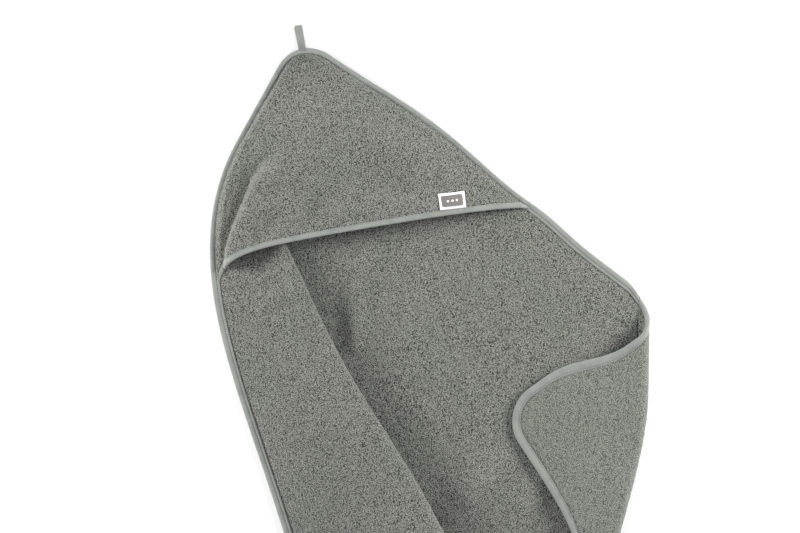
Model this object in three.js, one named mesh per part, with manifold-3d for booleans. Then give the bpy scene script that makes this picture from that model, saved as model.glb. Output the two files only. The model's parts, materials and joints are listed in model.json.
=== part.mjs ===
// Hooded baby towel, laid out on a flat surface with its right corner folded over.
// Millimetres. +Z is up, +Y runs along the towel's diagonal towards the hooded corner, and the
// origin is on the towel's underside, at the middle of the square that it is cut from.
import * as THREE from "three";
import { mergeVertices } from "three/addons/utils/BufferGeometryUtils.js";
import Module from "manifold-3d";

// Driving dimensions
const HALF_DIAGONAL = 530; // of the 750 mm square that the towel is cut from
const ROUNDING = 50; // of the corners, along each side
const TERRY = 3.6; // thickness of the terry cloth
const HOOD_TERRY = 3; // thickness of the hood's cloth
const BINDING_WIDTH = 9; // visible width of the jersey binding
const BINDING_THICKNESS = 3; // both legs of the binding, pressed together
const GAP = 0.3; // between pieces that touch
const THREAD = 0.6; // width and height of a row of stitches
const STITCH_DEPTH = 7.2; // from the binding's outer edge to the row of stitches

// The pleat down the left side: it starts at an apex on the left edge, and takes cloth up more
// and more below it, so the left edge swings inwards.
const LEFT_EDGE_ANGLE = 233; // direction of the left edge at the hood corner, degrees
const APEX_FROM_CORNER = 145;
const PLEAT_SWING = 38; // most that the left edge swings, degrees
const PLEAT_SWING_LENGTH = 290;
const PLEAT_RIDGE_ANGLE = 289.2; // direction of the pleat's ridge from the apex
const PLEAT_END = 605; // distance from the apex to the left corner
const LEFT_CORNER = 60; // length of edge taken up by that rounded corner
const CREASE = 5; // from the binding to the pleat's rising cloth
const CREST_HEIGHT = 38; // of the ridge, far from the apex
const CREST_LENGTH = 150;
const PLEAT_ROUNDNESS = 2.2; // how early the pleat's top reaches its height
const RIDGE_END = 660; // distance from the apex to the ridge's end at the hem
const CLOTH_END = 640; // where the pleated cloth stops, inside the hem's binding
const HEM_HEIGHT_AT = 630; // distance whose section the hem's climb follows

// The narrow lower end of the towel, below the pleat
const TAIL_LEFT_X = 50;
const TAIL_LEFT_Y = -455;
const TAIL_RIGHT_SHARE = 0.067; // of the way from the bottom corner to the right corner
const TAIL_ROUNDING = 28;

// The right corner, folded over on a straight line
const FOLD_ANGLE = 81.2; // direction of the fold line, degrees
const FOLD_DISTANCE = 326.2; // from the origin, square to the fold line
const FOLD_RADIUS = 10; // of the roll, to the middle of the cloth
const TIP_CUT = 1; // the blunt end of the cloth inside the flap's rounded tip
const FLAP_TIP_HEIGHT = 6.4; // of the middle of the cloth at the flap's tip

// The hood
const HOOD_LEG_LEFT = 316; // along the edge, from the middle of the rounded corner
const HOOD_LEG_RIGHT = 327;
const HOOD_CREST = 26; // height of the bulge beside the left edge
const HOOD_CREST_DISTANCE = 40; // from the left edge to the bulge
const HOOD_POCKET = 9; // height of the bulge in the middle
const HOOD_BULGE_START = 2.2; // how early, from the corner, the bulge is fully high
const FRONT_SAG = 38; // how far the front edge is drawn back from a straight line
const FRONT_SAG_LEFT = 0.04; // share of the width in which the front edge leaves the left side

// Tapes and labels
const LOOP_WIDTH = 10;
const LOOP_LENGTH = 27;
const LOOP_EYE = 5;
const LOOP_OFFSET = 3; // of the loop's middle from the diagonal
const TAPE = 1.2;
const LABEL_WIDTH = 32;
const LABEL_HEIGHT = 20;
const LABEL_X = 137; // its lower left corner
const LABEL_Y = 302;
const LABEL_TILT = 0.07; // slope of its lower edge, down to the right
const CARE_LABEL_WIDTH = 25;
const CARE_LABEL_LENGTH = 30;
const CARE_LABEL_PLACE = 505; // distance down the left edge from the apex
const CARE_LABEL_GAP = 2; // from the left edge

const wasm = await Module();
wasm.setup();

const radians = THREE.MathUtils.degToRad;
const direction = (degrees) => new THREE.Vector3(Math.cos(radians(degrees)), Math.sin(radians(degrees)), 0);
const UP = new THREE.Vector3(0, 0, 1);

// Corners of the cloth, before the pleat and the fold
const hoodCorner = new THREE.Vector3(0, HALF_DIAGONAL, 0);
const rightCorner = new THREE.Vector3(HALF_DIAGONAL, 0, 0);
const bottomCorner = new THREE.Vector3(52, -541, 0);
const apex = hoodCorner.clone().addScaledVector(direction(LEFT_EDGE_ANGLE), APEX_FROM_CORNER);
const foldLine = direction(FOLD_ANGLE);
const acrossFold = direction(FOLD_ANGLE - 90);

// How far the left edge has swung at a distance from the apex
function swing(distance) {
  return PLEAT_SWING * Math.tanh(distance / PLEAT_SWING_LENGTH);
}

function leftEdge(distance) {
  return apex.clone().addScaledVector(direction(LEFT_EDGE_ANGLE + swing(distance)), distance);
}

function ridge(distance) {
  return apex.clone().addScaledVector(direction(PLEAT_RIDGE_ANGLE), distance);
}

function crestHeight(distance) {
  return TERRY + (CREST_HEIGHT - TERRY) * (distance / (distance + CREST_LENGTH));
}

// Height of the pleat's top, from 0 at the left edge to 1 at the ridge
function pleatHeight(distance, share) {
  const rise = 1 - (1 - share) ** PLEAT_ROUNDNESS;
  return TERRY + (crestHeight(distance) - TERRY) * rise;
}

// A rounded corner between two points, as a curve that leaves and arrives along its sides
function roundedCorner(before, corner, after, radius, steps = 8) {
  const start = corner.clone().add(before.clone().sub(corner).setLength(radius));
  const end = corner.clone().add(after.clone().sub(corner).setLength(radius));
  return new THREE.QuadraticBezierCurve3(start, corner, end).getPoints(steps);
}

// Where a line between two points crosses a line parallel to the fold
function crossing(from, to, distance) {
  const share = (distance - from.dot(acrossFold)) / (to.dot(acrossFold) - from.dot(acrossFold));
  return from.clone().lerp(to, share);
}

// Resamples a path so that its points lie at even steps
function evenly(points, step) {
  const path = new THREE.CurvePath();
  for (let i = 1; i < points.length; i++) {
    path.add(new THREE.LineCurve3(points[i - 1], points[i]));
  }
  return path.getSpacedPoints(Math.max(1, Math.round(path.getLength() / step)));
}

// The outline as it lies: from the fold's upper end round the hood corner, down the left side,
// across the pleat's hem and round the bottom corner to the fold's lower end.
const leftCorner = leftEdge(PLEAT_END);
const ridgeEnd = ridge(RIDGE_END);
const ridgeTop = ridgeEnd.clone().add(new THREE.Vector3(-8, 0, crestHeight(RIDGE_END) - TERRY));
const hemFoot = ridgeEnd.clone().add(new THREE.Vector3(2, -12, 0));
const tailLeft = new THREE.Vector3(TAIL_LEFT_X, TAIL_LEFT_Y, 0);
const tailRight = bottomCorner.clone().lerp(rightCorner, TAIL_RIGHT_SHARE);
const pointOnLeft = leftEdge(PLEAT_END - LEFT_CORNER);

// From the fold's upper end to the left corner
function sideOutline() {
  const left = [];
  for (let distance = 0; distance < PLEAT_END - LEFT_CORNER; distance += 20) {
    left.push(leftEdge(distance));
  }
  return [
    crossing(hoodCorner, rightCorner, FOLD_DISTANCE),
    ...roundedCorner(rightCorner, hoodCorner, apex, ROUNDING),
    ...left,
    ...roundedCorner(pointOnLeft, leftCorner, ridgeEnd, ROUNDING),
  ];
}

// The hem of the pleat, which climbs to the ridge and drops from it
function pleatHem() {
  const climb = [0.25, 0.5, 0.75].map((share) => {
    const point = leftCorner.clone().lerp(ridgeTop, share);
    point.z = pleatHeight(HEM_HEIGHT_AT, share) - TERRY;
    return point;
  });
  return [...climb, ridgeTop, hemFoot];
}

// From below the pleat to the fold's lower end
function tailOutline() {
  return [
    ...roundedCorner(ridgeEnd, tailLeft, tailRight, TAIL_ROUNDING, 4),
    ...roundedCorner(tailLeft, tailRight, rightCorner, TAIL_ROUNDING),
    crossing(bottomCorner, rightCorner, FOLD_DISTANCE),
  ];
}

// Moves a path sideways, to its left, which is inwards for the outline
function inset(path, depth) {
  return path.map((point, i) => {
    const before = path[Math.max(i - 1, 0)];
    const after = path[Math.min(i + 1, path.length - 1)];
    const along = after.clone().sub(before).setZ(0).normalize();
    return point.clone().add(new THREE.Vector3(-along.y, along.x, 0).multiplyScalar(depth));
  });
}

// A closed solid from rows of places in the cloth: each place has a middle point, a normal and
// half a thickness, and the solid fills the cloth on both sides of the middle.
function clothSolid(rows) {
  const across = rows[0].length;
  const places = rows.flat();
  const positions = [];
  for (const side of [1, -1]) {
    for (const { point, normal, half } of places) {
      positions.push(...point.clone().addScaledVector(normal, side * half).toArray());
    }
  }
  const index = [];
  const quad = (a, b, c, d) => index.push(a, b, c, a, c, d);
  const top = (i, j) => i * across + j;
  const bottom = (i, j) => places.length + top(i, j);
  for (let i = 1; i < rows.length; i++) {
    for (let j = 1; j < across; j++) {
      quad(top(i - 1, j - 1), top(i, j - 1), top(i, j), top(i - 1, j));
      quad(bottom(i - 1, j - 1), bottom(i - 1, j), bottom(i, j), bottom(i, j - 1));
    }
    quad(top(i - 1, 0), bottom(i - 1, 0), bottom(i, 0), top(i, 0));
    quad(top(i, across - 1), bottom(i, across - 1), bottom(i - 1, across - 1), top(i - 1, across - 1));
  }
  const last = rows.length - 1;
  for (let j = 1; j < across; j++) {
    quad(top(0, j), bottom(0, j), bottom(0, j - 1), top(0, j - 1));
    quad(top(last, j - 1), bottom(last, j - 1), bottom(last, j), top(last, j));
  }
  const geometry = new THREE.BufferGeometry();
  geometry.setAttribute("position", new THREE.Float32BufferAttribute(positions, 3));
  geometry.setIndex(index);
  return facingOut(geometry);
}

// Turns a closed geometry's faces round if its volume comes out negative
function facingOut(geometry) {
  const position = geometry.getAttribute("position");
  const order = geometry.getIndex().array;
  const [a, b, c] = [new THREE.Vector3(), new THREE.Vector3(), new THREE.Vector3()];
  let volume = 0;
  for (let i = 0; i < order.length; i += 3) {
    a.fromBufferAttribute(position, order[i]);
    b.fromBufferAttribute(position, order[i + 1]);
    c.fromBufferAttribute(position, order[i + 2]);
    volume += a.dot(b.cross(c));
  }
  if (volume < 0) {
    for (let i = 0; i < order.length; i += 3) {
      [order[i + 1], order[i + 2]] = [order[i + 2], order[i + 1]];
    }
  }
  return geometry;
}

function place(point, half, normal = UP) {
  return { point, normal, half };
}

// A geometry as a solid for joining
function solid(geometry) {
  const bare = geometry.clone();
  bare.deleteAttribute("normal");
  bare.deleteAttribute("uv");
  const merged = mergeVertices(bare, 1e-3);
  return new wasm.Manifold(
    new wasm.Mesh({
      numProp: 3,
      vertProperties: merged.getAttribute("position").array,
      triVerts: new Uint32Array(merged.getIndex().array),
    }),
  );
}

function geometryOf(joined) {
  const mesh = joined.getMesh();
  const geometry = new THREE.BufferGeometry();
  geometry.setAttribute("position", new THREE.BufferAttribute(mesh.vertProperties, 3));
  geometry.setIndex(new THREE.BufferAttribute(mesh.triVerts, 1));
  geometry.computeVertexNormals();
  return geometry;
}

// The cloth that lies on the surface: the outline inside the binding, up to the fold
function lyingCloth(edge) {
  const inner = inset(edge, BINDING_WIDTH + GAP);
  const shape = new THREE.Shape(inner.map((point) => new THREE.Vector2(point.x, point.y)));
  return new THREE.ExtrudeGeometry(shape, { depth: TERRY, bevelEnabled: false });
}

// The cloth of the pleat, from the left edge up to its ridge and down again
function pleatedCloth() {
  const rows = [];
  const inside = BINDING_WIDTH + CREASE;
  for (const distance of [30, 60, 100, 150, 210, 280, 360, 450, 540, 610, CLOTH_END]) {
    const from = leftEdge(Math.min(distance, PLEAT_END - LEFT_CORNER)).add(new THREE.Vector3(inside, 0, 0));
    const to = ridge(distance);
    const row = [0, 0.1, 0.25, 0.45, 0.7, 0.9, 1].map((share) => {
      const half = pleatHeight(distance, share) / 2;
      return place(from.clone().lerp(to, share).setZ(half), half - (share === 1 ? 1 : 0));
    });
    rows.push(row);
  }
  return clothSolid(rows);
}

function towelPanel(edge) {
  return geometryOf(solid(lyingCloth(edge)).add(solid(pleatedCloth())));
}

// A band of binding along a path, thinner at its two edges
function band(path, depthFrom, depthTo, height, half) {
  const shares = [0, 0.15, 0.5, 0.85, 1];
  const thinning = [0.55, 0.9, 1, 0.9, 0.55];
  const lines = shares.map((share) => inset(path, THREE.MathUtils.lerp(depthFrom, depthTo, share)));
  return clothSolid(
    path.map((_, i) => lines.map((line, j) => {
      const point = line[i].clone().add(new THREE.Vector3(0, 0, height));
      return place(point, half * thinning[j]);
    })),
  );
}

function stitchRow(path, depth, height) {
  const sides = [depth - THREAD / 2, depth + THREAD / 2].map((side) => inset(path, side));
  return clothSolid(
    path.map((_, i) => sides.map((line) => {
      return place(line[i].clone().add(new THREE.Vector3(0, 0, height)), THREAD / 2);
    })),
  );
}

// The folded corner. A line parallel to the fold, a distance past the start of the roll, is
// carried round the roll and then back over the towel, sloping down to the tip.
const rollLength = Math.PI * FOLD_RADIUS;
const flapStart = FOLD_DISTANCE + rollLength;
const rollCentre = TERRY / 2 + FOLD_RADIUS;
const cornerReach = rightCorner.dot(acrossFold) - FOLD_DISTANCE - rollLength;
const flapSlope = Math.atan((rollCentre + FOLD_RADIUS - FLAP_TIP_HEIGHT) / cornerReach);

function folded(past, along) {
  const start = foldLine.clone().multiplyScalar(along).addScaledVector(acrossFold, FOLD_DISTANCE);
  if (past <= rollLength) {
    const turn = past / FOLD_RADIUS;
    const outward = acrossFold.clone().multiplyScalar(Math.sin(turn)).addScaledVector(UP, -Math.cos(turn));
    const point = start.addScaledVector(outward, FOLD_RADIUS).add(new THREE.Vector3(0, 0, rollCentre));
    return { point, normal: outward.multiplyScalar(-1) };
  }
  const back = past - rollLength;
  const point = start.addScaledVector(acrossFold, -back * Math.cos(flapSlope));
  point.z = rollCentre + FOLD_RADIUS - back * Math.sin(flapSlope);
  const normal = UP.clone().multiplyScalar(-Math.cos(flapSlope));
  return { point, normal: normal.addScaledVector(acrossFold, Math.sin(flapSlope)) };
}

// The rounded corner that is folded over, and the line that its cloth reaches inside the binding
const cornerCurve = roundedCorner(hoodCorner, rightCorner, bottomCorner, ROUNDING, 16);
const cornerCloth = inset([hoodCorner, ...cornerCurve, bottomCorner], -BINDING_WIDTH - GAP);
const tip = Math.floor(cornerCloth.length / 2);
const tipReach = cornerCloth[tip].dot(acrossFold) - FOLD_DISTANCE;

function sideAt(side, past) {
  const distance = FOLD_DISTANCE + past;
  const next = side.findIndex((point) => point.dot(acrossFold) >= distance);
  return crossing(side[next - 1], side[next], distance).dot(foldLine);
}

// How far along the fold the cloth reaches, a distance past its start
function reach(past) {
  const upper = cornerCloth.slice(0, tip + 1);
  const lower = cornerCloth.slice(tip).reverse();
  return [sideAt(lower, past), sideAt(upper, past)];
}

function foldedCloth(from, to, steps, across) {
  const rows = [];
  for (let i = 0; i <= steps; i++) {
    const past = THREE.MathUtils.lerp(from, to, i / steps);
    const [low, high] = reach(past);
    const row = [];
    for (let j = 0; j <= across; j++) {
      const spot = folded(past, THREE.MathUtils.lerp(low, high, j / across));
      row.push(place(spot.point, TERRY / 2, spot.normal));
    }
    rows.push(row);
  }
  return clothSolid(rows);
}

// The edge of the folded corner as a path of distances past the fold and along it
function cornerEdge(depth, points) {
  return inset(points, -depth).map((point) => ({
    past: point.dot(acrossFold) - FOLD_DISTANCE,
    along: point.dot(foldLine),
  }));
}

const BAND_SHARES = [0, 0.15, 0.85, 1];
const BAND_THINNING = [0.6, 1, 1, 0.6];

// Binding on the folded corner, cut off square to the fold between two distances past it
function foldedBand(points, least, most) {
  const lines = BAND_SHARES.map((share) => cornerEdge(share * BINDING_WIDTH, points));
  return clothSolid(
    points.map((_, i) => lines.map((line, j) => {
      const spot = folded(THREE.MathUtils.clamp(line[i].past, least, most), line[i].along);
      return place(spot.point, (BAND_THINNING[j] * BINDING_THICKNESS) / 2, spot.normal);
    })),
  );
}

// The binding of one end of the roll
function rollBinding(far) {
  const near = crossing(far, rightCorner, FOLD_DISTANCE + GAP);
  const past = crossing(far, rightCorner, flapStart - GAP);
  return foldedBand(evenly([near, past], 5), GAP, rollLength - GAP);
}

// The binding round the flap
function flapBinding() {
  const points = [
    ...evenly([crossing(hoodCorner, rightCorner, flapStart + GAP), cornerCurve[0]], 40),
    ...cornerCurve.slice(1),
    ...evenly([cornerCurve[16], crossing(bottomCorner, rightCorner, flapStart + GAP)], 40).slice(1),
  ];
  return foldedBand(points, rollLength + GAP, Infinity);
}

// The hood's sides run along the outline, and its cloth is stretched between them. Shares run
// from 0 at the left side to 1 at the right, and from 0 at the corner to 1 at the front.
const edge = [...sideOutline(), ...pleatHem(), ...tailOutline()];
const edgeCurve = new THREE.CurvePath();
for (let i = 1; i < edge.length; i++) {
  edgeCurve.add(new THREE.LineCurve3(edge[i - 1], edge[i]));
}
const cornerMiddle = crossing(hoodCorner, rightCorner, FOLD_DISTANCE).distanceTo(edge[1])
  + new THREE.QuadraticBezierCurve3(edge[1], hoodCorner, edge[9]).getLength() / 2;

function sideOfHood(distance, depth) {
  const total = edgeCurve.getLength();
  const step = 1;
  const here = edgeCurve.getPointAt((cornerMiddle + distance) / total);
  const next = edgeCurve.getPointAt((cornerMiddle + distance + step) / total);
  return inset([here, next], depth)[0];
}

function hoodPlace(across, down, offset = 0) {
  const left = sideOfHood(HOOD_LEG_LEFT * down, BINDING_WIDTH + GAP);
  const right = sideOfHood(-HOOD_LEG_RIGHT * down, BINDING_WIDTH + GAP);
  const width = left.distanceTo(right);
  const point = left.clone().lerp(right, across);
  const leaving = 1 - Math.exp(-across / FRONT_SAG_LEFT);
  point.y += FRONT_SAG * down ** 3 * leaving * (1 - across) ** 0.65;
  const fromLeft = (across * width) / HOOD_CREST_DISTANCE;
  const grown = Math.min(1, HOOD_BULGE_START * down);
  const bulge = HOOD_CREST * fromLeft * Math.exp(1 - fromLeft) * (1 - across) * grown;
  const pocket = HOOD_POCKET * Math.sin(Math.PI * across) * down;
  point.z = TERRY + GAP + HOOD_TERRY / 2 + bulge + pocket + offset;
  return point;
}

function spread(count) {
  return Array.from({ length: count + 1 }, (_, i) => i / count);
}

// Finer steps near the left side, where the hood bulges
const hoodAcross = spread(22).map((share) => share ** 1.6);
const frontBand = (BINDING_WIDTH + GAP) / HOOD_LEG_RIGHT;

function hoodPanel() {
  const downs = spread(12).map((share) => THREE.MathUtils.lerp(0.06, 1 - frontBand, share));
  return clothSolid(
    downs.map((down) => hoodAcross.map((across) => place(hoodPlace(across, down), HOOD_TERRY / 2))),
  );
}

function hoodBinding() {
  const downs = BAND_SHARES.map((share) => 1 - share * (frontBand - GAP / HOOD_LEG_RIGHT));
  return clothSolid(
    hoodAcross.map((across) => downs.map((down, j) => {
      return place(hoodPlace(across, down), BAND_THINNING[j] * BINDING_THICKNESS / 2);
    })),
  );
}

function hoodStitching() {
  const depth = STITCH_DEPTH / HOOD_LEG_RIGHT;
  const lift = BINDING_THICKNESS / 2 + GAP + THREAD / 2;
  const sides = [depth, depth - THREAD / HOOD_LEG_RIGHT];
  return clothSolid(
    hoodAcross.map((across) => sides.map((side) => {
      return place(hoodPlace(across, 1 - side, lift), THREAD / 2);
    })),
  );
}

// The shares across and down the hood that lie at a place in plan, found by a few small steps
function hoodShares(x, y) {
  const step = 0.001;
  let [across, down] = [0.5, 0.8];
  for (let round = 0; round < 12; round++) {
    const here = hoodPlace(across, down);
    const sideways = hoodPlace(across + step, down).sub(here).divideScalar(step);
    const onwards = hoodPlace(across, down + step).sub(here).divideScalar(step);
    const determinant = sideways.x * onwards.y - sideways.y * onwards.x;
    const [missX, missY] = [x - here.x, y - here.y];
    across += (missX * onwards.y - missY * onwards.x) / determinant;
    down += (missY * sideways.x - missX * sideways.y) / determinant;
  }
  return [across, down];
}

// The woven label, on the hood just behind the front binding
function brandLabel() {
  const lift = HOOD_TERRY / 2 + GAP + TAPE / 2;
  return clothSolid(
    spread(4).map((along) => spread(4).map((sideways) => {
      const x = LABEL_X + LABEL_WIDTH * sideways;
      const y = LABEL_Y + LABEL_HEIGHT * along - LABEL_TILT * LABEL_WIDTH * sideways;
      const [across, down] = hoodShares(x, y);
      return place(hoodPlace(across, down, lift), TAPE / 2);
    })),
  );
}

// The hanging loop: a tape folded double, with an eye between its layers
const loopRoot = new THREE.Vector3(LOOP_OFFSET - LOOP_WIDTH / 2, edge[5].y + GAP, GAP);
const loopHeight = LOOP_EYE + 2 * TAPE;

function hangingLoop() {
  const profile = new THREE.Shape();
  const outer = loopHeight / 2;
  profile.moveTo(0, 0);
  profile.lineTo(LOOP_LENGTH - outer, 0);
  profile.absarc(LOOP_LENGTH - outer, outer, outer, -Math.PI / 2, Math.PI / 2);
  profile.lineTo(0, loopHeight);
  profile.lineTo(0, 0);
  const eye = new THREE.Path();
  const inner = LOOP_EYE / 2;
  eye.moveTo(TAPE * 2, TAPE);
  eye.lineTo(LOOP_LENGTH - outer, TAPE);
  eye.absarc(LOOP_LENGTH - outer, outer, inner, -Math.PI / 2, Math.PI / 2);
  eye.lineTo(TAPE * 2, TAPE + LOOP_EYE);
  eye.lineTo(TAPE * 2, TAPE);
  profile.holes.push(eye);
  return new THREE.ExtrudeGeometry(profile, { depth: LOOP_WIDTH, bevelEnabled: false, curveSegments: 8 });
}

function box(width, length, height) {
  return new THREE.BoxGeometry(width, length, height);
}

// Materials
function cloth(name, colour, roughness) {
  const material = new THREE.MeshStandardMaterial({ color: colour, roughness, metalness: 0 });
  material.name = name;
  return material;
}
const terry = cloth("terry", 0x80827b, 0.95);
const jersey = cloth("jersey", 0x989a95, 0.8);
const tape = cloth("tape", 0x8b8d87, 0.8);
const thread = cloth("thread", 0xa3a5a0, 0.7);
const satin = cloth("satin", 0xe9e7e3, 0.5);

const towel = new THREE.Group();

function add(name, geometry, material, position) {
  const mesh = new THREE.Mesh(geometry, material);
  mesh.name = name;
  if (position) {
    mesh.position.copy(position);
  }
  towel.add(mesh);
  return mesh;
}

const bandHeight = GAP + BINDING_THICKNESS / 2;
const bandTop = bandHeight + BINDING_THICKNESS / 2;
const stitchHeight = bandTop + GAP + THREAD / 2;

add("towel_panel", towelPanel(edge), terry);
add("edge_binding", band(edge, 0, BINDING_WIDTH, bandHeight, BINDING_THICKNESS / 2), jersey);
add("edge_stitching", stitchRow(sideOutline(), STITCH_DEPTH, stitchHeight), thread);
add("hem_stitching", stitchRow(tailOutline(), STITCH_DEPTH, stitchHeight), thread);
add("corner_fold", foldedCloth(GAP, rollLength - GAP, 10, 6), terry);
add("corner_flap", foldedCloth(rollLength + GAP, tipReach - TIP_CUT, 14, 10), terry);
add("upper_fold_binding", rollBinding(hoodCorner), jersey);
add("lower_fold_binding", rollBinding(bottomCorner), jersey);
add("corner_binding", flapBinding(), jersey);
add("hood_panel", hoodPanel(), terry);
add("hood_binding", hoodBinding(), jersey);
add("hood_stitching", hoodStitching(), thread);
add("brand_label", brandLabel(), satin);

const loop = add("hanging_loop", hangingLoop(), tape, loopRoot);
loop.quaternion.setFromAxisAngle(new THREE.Vector3(1, 1, 1).normalize(), (2 * Math.PI) / 3);

const bartack = new THREE.Vector3(LOOP_OFFSET, loopRoot.y - 5, bandTop + GAP + THREAD / 2);
add("loop_bartack", box(LOOP_WIDTH, 2, THREAD), thread, bartack);

const careSpot = leftEdge(CARE_LABEL_PLACE);
careSpot.add(new THREE.Vector3(-CARE_LABEL_LENGTH / 2 - CARE_LABEL_GAP, 0, GAP + TAPE / 2));
add("care_label", box(CARE_LABEL_LENGTH, CARE_LABEL_WIDTH, TAPE), satin, careSpot);

export default towel;
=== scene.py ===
"""Hooded baby towel, laid flat with a pleat down its left side and its right corner folded over.

Cloth is drawn in millimetres in the row frame and put into Blender in metres. The cloth's own
flat coordinates are the plan of the towel before it is pleated and folded.
"""
import json
import math

import bpy
import numpy as np
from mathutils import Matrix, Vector


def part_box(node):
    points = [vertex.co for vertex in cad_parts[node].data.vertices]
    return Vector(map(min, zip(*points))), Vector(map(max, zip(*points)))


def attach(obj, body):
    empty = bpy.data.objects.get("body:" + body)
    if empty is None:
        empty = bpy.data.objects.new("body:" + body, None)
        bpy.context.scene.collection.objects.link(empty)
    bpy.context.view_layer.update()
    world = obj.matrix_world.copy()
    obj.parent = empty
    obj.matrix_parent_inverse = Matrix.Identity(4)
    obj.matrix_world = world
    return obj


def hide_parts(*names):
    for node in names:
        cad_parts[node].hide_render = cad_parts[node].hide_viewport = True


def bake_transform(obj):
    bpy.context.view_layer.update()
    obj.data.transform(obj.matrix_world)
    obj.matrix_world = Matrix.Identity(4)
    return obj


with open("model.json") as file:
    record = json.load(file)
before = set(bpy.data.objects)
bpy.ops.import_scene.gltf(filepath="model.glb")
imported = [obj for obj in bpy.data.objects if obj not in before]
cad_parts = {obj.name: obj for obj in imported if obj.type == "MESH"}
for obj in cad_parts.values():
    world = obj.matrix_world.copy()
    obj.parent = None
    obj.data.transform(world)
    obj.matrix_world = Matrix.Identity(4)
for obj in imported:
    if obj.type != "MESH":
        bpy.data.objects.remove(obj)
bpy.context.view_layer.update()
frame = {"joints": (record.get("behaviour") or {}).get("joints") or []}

MM = 0.001
RNG = np.random.default_rng(7)

# Driving dimensions, in millimetres
HALF_DIAGONAL = 530.0
LEFT_SIDE = 750.0  # the side of the square
ROUNDING = 46.0  # radius of the cloth's corners
TERRY = 3.6  # thickness of the towel's cloth
HOOD_TERRY = 3.0
BINDING_WIDTH = 9.8
BINDING_BELOW = 1.7  # from the middle of the cloth to the binding's underside
BINDING_ABOVE = 2.7
FLAP_BINDING_EXTRA = 0.6  # the binding round the folded corner is this much thicker below
TUCK = 5.0  # the cloth's edge lies this far inside the binding's outer edge
HOOD_BINDING_WIDTH = 11.8
EDGE_GROOVE = 0.66  # share of the binding's width where its stitches lie
FLAP_GROOVE = 0.86
HOOD_GROOVE = 0.76
STITCH_LENGTH = 2.3
STITCH_PITCH = 3.3
GRID = 2.5  # spacing of the cloth's mesh
EDGE_STEP = 3.0  # spacing of the points along the outline
ARC_STEPS = 16  # points round each rounded corner
SLOPE_STEP = 0.4  # how far apart places are compared to find a surface's slope

# The pleat. It starts at its apex on the left side and takes up more cloth the farther it goes
LEFT_ANGLE = math.radians(233)  # direction of the left side from the hood's corner
APEX_FROM_CORNER = 145.0
PLEAT_LENGTH = 1300.0  # farther than any corner is from the apex
SWING = math.radians(39)  # the most that the pleat turns the cloth past it
SWING_LENGTH = 310.0
SWING_POWER = 1.08
RIDGE_ANGLE = math.radians(287.3)  # direction of the ridge from the apex
RIDGE_BEND = math.radians(2.5)  # how much it turns on its way down
RIDGE_BEND_START = 230.0
RIDGE_BEND_LENGTH = 250.0
ROLLS = 16.0  # radii of the pleat's two rolls, added up
ROLLS_LENGTH = 180.0
RIDGE_SHARE = 0.62  # the ridge's part of that sum
FLATTEST = math.radians(178)
SHORTEST_HIDDEN = 0.05  # least length of the hidden layer, as a share of the distance from the apex
NARROWEST_STRIP = 0.3  # least width of the strip beside the pleat, as the same share
MOST_BACK = 0.62  # of the strip's width that the hidden layer may reach back
OVERHANG_LENGTH = 60.0  # from the apex to where the ridge's cloth has its full thickness
BISECTIONS = 40

# The strip beside the pleat rises from its flat part to the ridge, late near the apex and early
# farther down, where the pleat is full
STRIP_FLAT = 12.0
STRIP_FLAT_SHARE = 0.3  # of the strip's width, the most that is flat
STRIP_FULL_START = 130.0
STRIP_FULL_LENGTH = 220.0
EARLY_RISE = 2.2
LATE_RISE = 2

# The folded corner, from the frame's own joint
fold_joint = next(joint for joint in frame["joints"] if joint["name"] == "corner_fold_back")
FOLD_LINE = np.array(fold_joint["axis"][:2])
ACROSS = np.array([FOLD_LINE[1], -FOLD_LINE[0]])
FOLD_DISTANCE = float(np.dot(fold_joint["pos_m"][:2], ACROSS)) / MM
FOLD_RADIUS = fold_joint["pos_m"][2] / MM - TERRY / 2
ROLL_LENGTH = math.pi * FOLD_RADIUS
FLAP_TIP_HEIGHT = 6.4  # of the middle of the cloth at the folded corner's tip

MIDDLE = TERRY / 2  # height of the middle of the cloth where it lies flat

# The camera, in metres: where it stands, how it is turned, and the width that it sees at the floor
CAMERA_PLACE = (0.0818, 0.2398, 3.0)
CAMERA_TURN = math.radians(-8.1)
VIEW_WIDTH = 0.944
SENSOR_WIDTH = 36.0  # millimetres, as a lens is given
CAMERA_REACH = 20.0


def unit(angle):
    """The direction in plan at an angle from +X."""
    return np.array([math.cos(angle), math.sin(angle)])


# Corners of the cloth, in its flat coordinates
HOOD_CORNER = np.array([0.0, HALF_DIAGONAL])
RIGHT_CORNER = np.array([HALF_DIAGONAL, 0.0])
BOTTOM_CORNER = np.array([20.0, -545.0])
LEFT_CORNER = HOOD_CORNER + LEFT_SIDE * unit(LEFT_ANGLE)
CORNERS = [HOOD_CORNER, LEFT_CORNER, BOTTOM_CORNER, RIGHT_CORNER]
APEX = HOOD_CORNER + APEX_FROM_CORNER * unit(LEFT_ANGLE)


def make_camera():
    """Looks straight down through a long lens."""
    data = bpy.data.cameras.new("camera")
    data.sensor_width = SENSOR_WIDTH
    data.lens = SENSOR_WIDTH * CAMERA_PLACE[2] / VIEW_WIDTH
    data.clip_end = CAMERA_REACH
    camera = bpy.data.objects.new("camera", data)
    camera.location = CAMERA_PLACE
    camera.rotation_euler = (0, 0, CAMERA_TURN)
    bpy.context.scene.collection.objects.link(camera)
    bpy.context.scene.camera = camera


def smooth(share):
    """Eases from 0 to 1 as a share goes from 0 to 1, and stays there beyond."""
    share = np.clip(share, 0, 1)
    return share * share * (3 - 2 * share)


# Waves that cross each other: how fast each runs along x and y, its part of the phase, its start
WAVES = [(1.0, 0.6, 1, 0.0), (0.7, -1.1, 2, 1.3), (1.7, 1.3, 3, 0.4)]


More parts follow.
